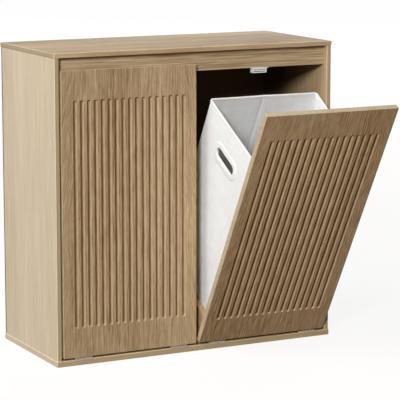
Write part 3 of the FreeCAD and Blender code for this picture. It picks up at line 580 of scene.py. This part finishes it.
FINISHES = {
    "left_side_panel": oak("oak_left_side", "YXZ", SIDE_TONE, 1, contrast=0.33,
                           faces={"-Y": FRONT_TONE, "+X": INNER_TONE}, inside="+X"),
    "right_side_panel": oak("oak_right_side", "YXZ", SIDE_TONE, 2, contrast=0.33,
                            faces={"-Y": FRONT_TONE, "-X": INNER_TONE}, inside="-X"),
    "centre_divider": oak("oak_divider", "YXZ", WARM_TONE, 3, contrast=0.7),
    "top_panel": oak("oak_top", "YZX", TOP_TONE, 4, contrast=1.1,
                     faces={"-Y": WARM_TONE, "-Z": WARM_TONE}),
    "bottom_panel": oak("oak_bottom", "YZX", SIDE_TONE, 5, contrast=0.6,
                        faces={"-Y": WARM_TONE, "+Z": WARM_TONE}),
    "top_rail": oak("oak_rail", "ZYX", RAIL_TONE, 6, wander=0.006),
    # The right door's tone, higher contrast and stronger painted flute shade are painted light for the open,
    # tilted door
    "left_door_panel": oak("oak_left_door", "XYZ", LEFT_DOOR_TONE, 7, flute_shade=0.82),
    "right_door_panel": oak("oak_right_door", "XYZ", RIGHT_DOOR_TONE, 21, True, contrast=1.3, flute_shade=0.97),
    "back_panel": hardboard("hardboard_back"),
    "cam_discs": ZINC,
    "catch_magnets": MAGNET,
    "catch_pole_plates": POLE_STEEL,
}
TRAY_GRAINS = {"left_side": "ZXY", "right_side": "ZXY", "floor": "YZX", "back": "ZYX"}
TRAY_SEEDS = {"left": 9, "right": 13}
for side, first_seed in TRAY_SEEDS.items():
    for seed, (piece, grain) in enumerate(TRAY_GRAINS.items(), start=first_seed):
        FINISHES[f"{side}_tray_{piece}"] = oak(
            f"oak_{side}_tray_{piece}", grain, WARM_TONE, seed, side == "right", contrast=0.7)

FITTINGS = (
    (HINGE_STEEL, ("hinge_fixed_leaves", "hinge_pins", "left_door_hinge_leaves", "right_door_hinge_leaves",
                   "left_strike_plate", "right_strike_plate")),
    (BRIGHT_STEEL, ("cam_bolts", "back_panel_screws", "catch_screws", "hinge_fixed_screws",
                    "left_door_hinge_screws", "right_door_hinge_screws", "left_strike_screw",
                    "right_strike_screw", "left_tray_screws", "right_tray_screws")),
    (CATCH_PLASTIC, ("left_catch_housing", "right_catch_housing")),
    (BEECH, ("carcass_dowels", "side_stop_pegs", "divider_stop_peg", "left_tray_dowels",
             "right_tray_dowels")),
)
for finish, names in FITTINGS:
    FINISHES.update(dict.fromkeys(names, finish))


# --------------------------------------------------------------- bag's form

HALF_WIDTH = (BAG_HIGH.x - BAG_LOW.x) / 2
HALF_DEPTH = (BAG_HIGH.y - BAG_LOW.y) / 2
BAG_HEIGHT = RIM_TOP - BAG_LOW.z
WALL = 3.0 * MM
CORNER = 8.0 * MM
CORNER_STEPS = 5
HOLE_REACH = 55.0 * MM
HOLE_RISE = 19.0 * MM
HOLE_LOW, HOLE_HIGH = RING_CENTRE.z - HOLE_RISE, RING_CENTRE.z + HOLE_RISE
CLOTH_TOP = RIM_TOP - 1.4 * MM

# Where the mesh is cut, as shares of half a folded wall and of the base
CREASE_STEPS = (0.010, 0.022, 0.075)
WALL_STEPS = (0.17, 0.3, 0.45, 0.6, 0.75, 0.9, 1.0)
BASE_STEPS = (0.94, 0.8, 0.6, 0.35, 0.12)

# Cuts beside a hand slot and over it, then below, beside and above it
BESIDE_CUTS, OVER_CUTS = 7, 12
LOWER_CUTS, SLOT_CUTS, UPPER_CUTS = 36, 5, 8

# Millimetres up from the base, and tucked in there
BASE_ROUND = ((0, 6), (0.9, 3.2), (2.4, 1.3), (5, 0.3), (8, 0))

# Millimetres that the cloth stands out, in or down from the straight bag
FOLDS = {"back": 5.0, "front": -2.6}
BELLY = 2.4
PINCH = 2.2
RIPPLE = 0.9
RIM_DIPS = {"left": 2.6, "right": 2.6, "back": 1.6, "front": 1.2}
RIPPLE_LENGTH = 85 * MM

# Shares of a fold: its sharper crest, and what it loses towards the rim
FOLD_CREST = 0.36
FOLD_LOSS = 0.3
FOLD_RIPPLE = 0.8

# Shares of the height over which the cloth comes free of the tray and each of its forms comes or goes
FREE_SPAN = (0.11, 0.4)
FOLD_LOSS_SPAN = (0.6, 1.0)
BELLY_SPAN = (0.74, 0.45)
PINCH_SPAN = (0.91, 1.0)
DIP_SPAN = (0.9, 1.0)

# The same for a side's ripple, which the ring of the hand slot holds flat
RIPPLE_BELOW_RING = (0.74, 0.6)
RIPPLE_ABOVE_RING = (0.92, 0.97)


def smooth(value, low, high):
    """0 to 1 as a value goes from low to high, with soft ends."""
    share = min(max((value - low) / (high - low), 0.0), 1.0)
    return share * share * (3 - 2 * share)


def spaced(first, last, count):
    """Even steps from first to just before last."""
    return [first + (last - first) * step / count for step in range(count)]


class Station(NamedTuple):
    """A place on the bag's outline, with how far along its wall it lies, from -1 to 1."""
    wall: str
    share: float
    point: Vector
    outward: Vector


def outline():
    """The bag's outline from above, round the four walls and the rounded corners between them."""
    flat_x, flat_y = HALF_WIDTH - CORNER, HALF_DEPTH - CORNER
    half = (*CREASE_STEPS, *WALL_STEPS)
    creased = [*(-share for share in reversed(half)), 0.0, *half]
    hole = HOLE_REACH / flat_y
    slotted = [*spaced(-1.0, -hole, BESIDE_CUTS), *spaced(-hole, hole, OVER_CUTS),
               *spaced(hole, 1.0, BESIDE_CUTS), 1.0]
    walls = (
        ("front", creased, Vector((1, 0)), Vector((0, -1)), flat_x, HALF_DEPTH),
        ("right", slotted, Vector((0, 1)), Vector((1, 0)), flat_y, HALF_WIDTH),
        ("back", creased, Vector((-1, 0)), Vector((0, 1)), flat_x, HALF_DEPTH),
        ("left", slotted, Vector((0, -1)), Vector((-1, 0)), flat_y, HALF_WIDTH),
    )
    stations = []
    for wall, shares, run, outward, reach, stand in walls:
        for share in shares:
            stations.append(Station(wall, share, run * share * reach + outward * stand, outward))
        centre = run * reach + outward * (stand - CORNER)
        for step in range(1, CORNER_STEPS):
            turn = step / CORNER_STEPS * math.pi / 2
            way = outward * math.cos(turn) + run * math.sin(turn)
            stations.append(Station("corner", 1.0, centre + way * CORNER, way))
    return stations


def bulge(station, rise):
    """How far the cloth stands out from its straight wall. rise runs from 0 at the base to 1 at the rim."""
    free = smooth(rise, *FREE_SPAN)
    slack = 1 - station.share ** 2
    along = abs(station.share)
    out, lively = 0.0, FOLD_RIPPLE
    if station.wall in FOLDS:
        fold = (1 - along) + FOLD_CREST * smooth(along, CREASE_STEPS[1], 0.0)
        out = FOLDS[station.wall] * fold * free * (1 - FOLD_LOSS * smooth(rise, *FOLD_LOSS_SPAN))
    elif station.wall in RIM_DIPS:
        belly = free * smooth(rise, *BELLY_SPAN)
        out = BELLY * slack * belly - PINCH * slack * smooth(rise, *PINCH_SPAN)
        lively = smooth(rise, *RIPPLE_BELOW_RING) + smooth(rise, *RIPPLE_ABOVE_RING)
    place = Vector((station.point.x, station.point.y, rise * BAG_HEIGHT)) / RIPPLE_LENGTH
    ripple = noise.noise(place) * RIPPLE * free * lively
    return (out + ripple * slack) * MM


def wall_point(station, height, tuck=0.0):
    """A point on the outside of the bag's wall at a height of the straight bag. The rim dips a little
    between the corners."""
    rise = (height - BAG_LOW.z) / BAG_HEIGHT
    flat = station.point + station.outward * (bulge(station, rise) - tuck)
    dip = RIM_DIPS.get(station.wall, 0.0) * (1 - station.share ** 2) * MM
    drop = dip * smooth(rise, *DIP_SPAN)
    return Vector((flat.x + BAG_MIDDLE.x, flat.y + BAG_MIDDLE.y, height - drop))


def bag_rows():
    """Heights up the bag with how far the wall is tucked in there: round at the base, then straight."""
    rows = [(BAG_LOW.z + up * MM, tuck * MM) for up, tuck in BASE_ROUND]
    heights = [*spaced(rows[-1][0], HOLE_LOW, LOWER_CUTS)[1:], *spaced(HOLE_LOW, HOLE_HIGH, SLOT_CUTS),
               *spaced(HOLE_HIGH, CLOTH_TOP, UPPER_CUTS), CLOTH_TOP]
    return rows + [(height, 0.0) for height in heights]


# --------------------------------------------------------------- bag's mesh

# Millimetres (outward, up) from the rim
TAPE_PROFILE = ((1.0, -6.0), (1.15, -4.2), (1.15, -1.7), (0.85, -0.6), (0.1, -0.1), (-1.5, 0.0), (-3.1, -0.1),
                (-3.85, -0.6), (-4.15, -1.7), (-4.15, -4.2), (-4.0, -6.0), (-2.9, -6.0), (-2.9, -1.6),
                (-0.1, -1.6), (-0.1, -6.0))
STITCH_ROWS = ((1.15, -4.4), (-4.15, -4.4))
STITCH_PITCH = 4.4 * MM

# Millimetres along a stitch, and its radius there
STITCH_PROFILE = ((-1.5, 0.08), (-0.9, 0.26), (0.0, 0.32), (0.9, 0.26), (1.5, 0.08))
STITCH_SIDES = 6

# Millimetres (away from the slot's edge, out of the wall)
FLANGE = ((0.0, 1.6), (0.25, 2.7), (1.1, 3.35), (2.4, 3.5), (9.0, 3.2), (13.6, 3.0), (15.3, 2.5), (16.0, 1.6))
NECK = ((2.1, 1.5), (2.1, -1.5))
RING_PROFILE = (*FLANGE, *NECK, *((away, -out) for away, out in reversed(FLANGE)))
SLOT_HALF = 36.0
SLOT_RADIUS = 13.0
SLOT_END_STEPS = 14
FOLD_ANGLE = math.radians(40)


def kept(mesh, name):
    """A finished bmesh as mesh data."""
    data = bpy.data.meshes.new(name)
    mesh.to_mesh(data)
    mesh.free()
    return data


def bridge(mesh, here, there, left_out=()):
    """Faces between two closed rings of vertices, except at the places left out."""
    for place in range(len(here)):
        if place not in left_out:
            after = (place + 1) % len(here)
            mesh.faces.new((here[place], here[after], there[after], there[place]))


def slot_places(stations):
    """The places on the outline where a hand slot opens the wall."""
    places = []
    for place, (first, last) in enumerate(zip(stations, stations[1:])):
        on_side = first.wall in ("left", "right") and last.wall == first.wall
        if on_side and abs((first.point.y + last.point.y) / 2) < HOLE_REACH:
            places.append(place)
    return places


def bag_mesh():
    """One lofted shell: four walls with rounded corners, a base and two hand slots."""
    stations, rows = outline(), bag_rows()
    slots = slot_places(stations)
    mesh = bmesh.new()
    rings = [[mesh.verts.new(wall_point(station, height, tuck)) for station in stations]
             for height, tuck in rows]
    for lower, upper, (height, _), (next_height, _) in zip(rings, rings[1:], rows, rows[1:]):
        in_slot = abs((height + next_height) / 2 - RING_CENTRE.z) < HOLE_RISE
        bridge(mesh, lower, upper, slots if in_slot else ())
    outer = rings[0]
    centre = Vector((BAG_MIDDLE.x, BAG_MIDDLE.y, BAG_LOW.z))
    for share in BASE_STEPS:
        inner = [mesh.verts.new(centre + (vertex.co - centre) * share) for vertex in rings[0]]
        bridge(mesh, inner, outer)
        outer = inner
    mesh.faces.new(list(reversed(outer)))
    mesh.normal_update()
    return kept(mesh, "bag")


def swept(*paths):
    """Closed tubes, each through rings of points that are the profile at one place along its path."""
    mesh = bmesh.new()
    for path in paths:
        rings = [[mesh.verts.new(point) for point in ring] for ring in path]
        for here, there in zip(rings, rings[1:] + rings[:1]):
            for step in range(len(here)):
                after = (step + 1) % len(here)
                mesh.faces.new((here[step], there[step], there[after], here[after]))
    bmesh.ops.recalc_face_normals(mesh, faces=mesh.faces)
    return kept(mesh, "swept")


def rim_rings(profile):
    """A profile of (outward, up) millimetres set on the rim at each station."""
    rings = []
    for station in outline():
        base = wall_point(station, RIM_TOP)
        way = station.outward.to_3d()
        rings.append([base + (way * out + Vector((0, 0, up))) * MM for out, up in profile])
    return rings


def add_stitch(mesh, at, along):
    """One stitch: a short thread, thickest in the middle, its ends sunk in the tape."""
    up = Vector((0, 0, 1))
    side = along.cross(up).normalized()
    turns = [step * 2 * math.pi / STITCH_SIDES for step in range(STITCH_SIDES)]
    rings = []
    for shift, radius in STITCH_PROFILE:
        middle = at + along * shift * MM
        spokes = [(side * math.cos(turn) + up * math.sin(turn)) * radius * MM for turn in turns]
        rings.append([mesh.verts.new(middle + spoke) for spoke in spokes])
    for here, there in zip(rings, rings[1:]):
        bridge(mesh, here, there)
    mesh.faces.new(list(reversed(rings[0])))
    mesh.faces.new(rings[-1])


def stitch_mesh():
    """A row of short stitches along both sides of the rim tape."""
    mesh = bmesh.new()
    for row in zip(*rim_rings(STITCH_ROWS)):
        carried = 0.0
        for start, end in zip(row, row[1:] + row[:1]):
            run = end - start
            at = (STITCH_PITCH - carried) % STITCH_PITCH
            while at < run.length:
                add_stitch(mesh, start + run * (at / run.length), run.normalized())
                at += STITCH_PITCH
            carried = (carried + run.length) % STITCH_PITCH
    return kept(mesh, "stitches")


def grommet(side):
    """The rings of a grommet round a hand slot: two flanges that grip the wall and a neck between them."""
    centre = Vector((BAG_MIDDLE.x + side * (HALF_WIDTH - WALL / 2), RING_CENTRE.y, RING_CENTRE.z))
    rings = []
    for end in (1, -1):
        for step in range(SLOT_END_STEPS + 1):
            turn = math.pi * (step / SLOT_END_STEPS - end / 2)
            spoke = Vector((0, math.cos(turn), math.sin(turn)))
            middle = Vector((0, end * SLOT_HALF, 0))
            rings.append([centre + (middle + spoke * (SLOT_RADIUS + away) + Vector((side * out, 0, 0))) * MM
                          for away, out in RING_PROFILE])
    return rings


def baked(name, data, *modifiers):
    """A mesh with modifiers applied, shaded smooth except at sharp folds."""
    maker = bpy.data.objects.new(name + "_maker", data)
    bpy.context.scene.collection.objects.link(maker)
    for kind, settings in modifiers:
        modifier = maker.modifiers.new(kind, kind)
        for key, value in settings.items():
            setattr(modifier, key, value)
    bpy.context.view_layer.update()
    done = bpy.data.meshes.new_from_object(maker.evaluated_get(bpy.context.evaluated_depsgraph_get()))
    bpy.data.objects.remove(maker)
    done.name = name
    done.polygons.foreach_set("use_smooth", [True] * len(done.polygons))
    done.set_sharp_from_angle(angle=FOLD_ANGLE)
    return done


def place_bag(side, hinge, tilt):
    """The four pieces of one bag, set on its unit and carried by it."""
    shell = ("SOLIDIFY", {"thickness": WALL, "offset": -1.0, "use_even_offset": True, "use_rim": True})
    pieces = (
        ("cloth_bag", bag_mesh(), [shell], FABRIC, "bag_fabric",
         ["front_wall", "back_wall", "left_wall", "right_wall", "base"]),
        ("rim_tape", swept(rim_rings(TAPE_PROFILE)), [], BINDING, "bag_binding", ["rim"]),
        ("rim_stitches", stitch_mesh(), [], THREAD, "bag_binding", []),
        ("grommets", swept(grommet(-1), grommet(1)), [], RING_PLASTIC, "handle_plastic", ["handle_rings"]),
    )
    for name, data, modifiers, finish, slot_name, stands_for in pieces:
        piece = bpy.data.objects.new(f"{side}_{name}", baked(f"{side}_{name}", data, *modifiers))
        bpy.context.scene.collection.objects.link(piece)
        piece.data.materials.clear()
        piece.data.materials.append(finish)
        piece.matrix_world = Matrix.Translation(hinge) @ Matrix.Rotation(tilt, 4, "X")
        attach(piece, f"{side}_bin")
        if stands_for:
            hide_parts(*(f"{side}_bag_{node}" for node in stands_for))


place_bag("left", LEFT_HINGE, 0.0)
place_bag("right", RIGHT_HINGE, REST_TILT)

for name, finish in FINISHES.items():
    skin = NODES[name].data.materials
    skin.clear()
    skin.append(finish)


# ------------------------------------------------------- floor, light, camera

WHITE = (1.0, 1.0, 1.0, 1.0)
FLOOR_COLOUR = (0.12, 0.11, 0.098, 1.0)
FLOOR_HALF = 30.0
FLOOR_DROP = 0.5 * MM
# Metres from the cabinet over which the floor's glow goes from one level to the next
FLOOR_GLOW = (0.8, 9.0, 0.89, 0.97)
AMBIENT_COLOUR = (1.0, 0.97, 0.93, 1.0)
AMBIENT_LEVEL = 0.09
LAMP_TARGET = Vector((0.0, -0.2, 0.4))
LAMP_DISTANCE = 10.0
PURE_LIGHT = (1.0, 1.0, 1.0)
WARM_LIGHT = (1.0, 0.995, 0.985)
CAMERA_PLACE = (-2.3107, -4.7000, 1.2678)
CAMERA_DOWN = math.radians(9.678)
CAMERA_TURN = math.radians(-27.145)
CAMERA_LENS = 178.44


def seen_directly(nodes):
    """1 for the rays that show the background itself: camera, mirror and see-through rays."""
    path = nodes.add("LightPath").outputs
    rays = ("Is Camera Ray", "Is Glossy Ray", "Is Transmission Ray")
    return nodes.chain("MAXIMUM", *(path[ray] for ray in rays))


def make_floor():
    """A wide pale floor that keeps the cabinet's shadow and gets whiter farther away."""
    mesh = bmesh.new()
    bmesh.ops.create_grid(mesh, x_segments=4, y_segments=4, size=FLOOR_HALF)
    floor = bpy.data.objects.new("studio_floor", kept(mesh, "studio_floor"))
    paint = Paint("studio_floor", Base_Color=FLOOR_COLOUR, Roughness=0.9, Specular_IOR_Level=0.0,
                  Emission_Color=WHITE)
    away = paint.measure("LENGTH", paint.object_place())
    glow = paint.math("MULTIPLY", seen_directly(paint), paint.spread(away, *FLOOR_GLOW, soft=True))
    paint.feed(paint.shader.inputs["Emission Strength"], glow)
    floor.data.materials.append(paint.material)
    floor.location.z = -FLOOR_DROP
    bpy.context.scene.collection.objects.link(floor)


def make_world():
    """Dim light from all round, white where the background itself is seen."""
    world = bpy.data.worlds.new("studio")
    world.use_nodes = True
    nodes = Nodes(world.node_tree)
    ambient = nodes.tree.nodes["Background"]
    nodes.feed(ambient.inputs["Color"], AMBIENT_COLOUR)
    nodes.feed(ambient.inputs["Strength"], AMBIENT_LEVEL)
    white = nodes.add("Background", {"Color": WHITE, "Strength": 1.0})
    either = nodes.add("MixShader", [seen_directly(nodes), ambient.outputs[0], white.outputs[0]])
    nodes.feed(nodes.tree.nodes["World Output"].inputs["Surface"], either.outputs[0])
    bpy.context.scene.world = world


def soft_light(name, direction, level, size, colour):
    """A square lamp that lights a white surface facing it to the given level."""
    data = bpy.data.lights.new(name, "AREA")
    data.size = size
    data.color = colour
    data.energy = level * math.pi ** 2 * LAMP_DISTANCE ** 2
    lamp = bpy.data.objects.new(name, data)
    way = Vector(direction).normalized()
    lamp.location = LAMP_TARGET + way * LAMP_DISTANCE
    lamp.rotation_euler = way.to_track_quat("Z", "Y").to_euler()
    bpy.context.scene.collection.objects.link(lamp)


def make_camera():
    """The photo's viewpoint."""
    data = bpy.data.cameras.new("camera")
    data.sensor_fit = "HORIZONTAL"
    data.sensor_width = 36.0
    data.lens = CAMERA_LENS
    camera = bpy.data.objects.new("camera", data)
    camera.location = CAMERA_PLACE
    camera.rotation_euler = (math.pi / 2 - CAMERA_DOWN, 0.0, CAMERA_TURN)
    bpy.context.scene.collection.objects.link(camera)
    bpy.context.scene.camera = camera


make_floor()
make_world()
soft_light("high_light", (-0.60, -0.10, 0.79), 0.60, 4.4, PURE_LIGHT)
soft_light("back_light", (0.73, 0.66, 0.18), 0.40, 5.0, WARM_LIGHT)
soft_light("key_light", (-0.59, -0.72, 0.37), 0.76, 2.0, WARM_LIGHT)
make_camera()
bpy.context.scene.view_settings.view_transform = "Standard"
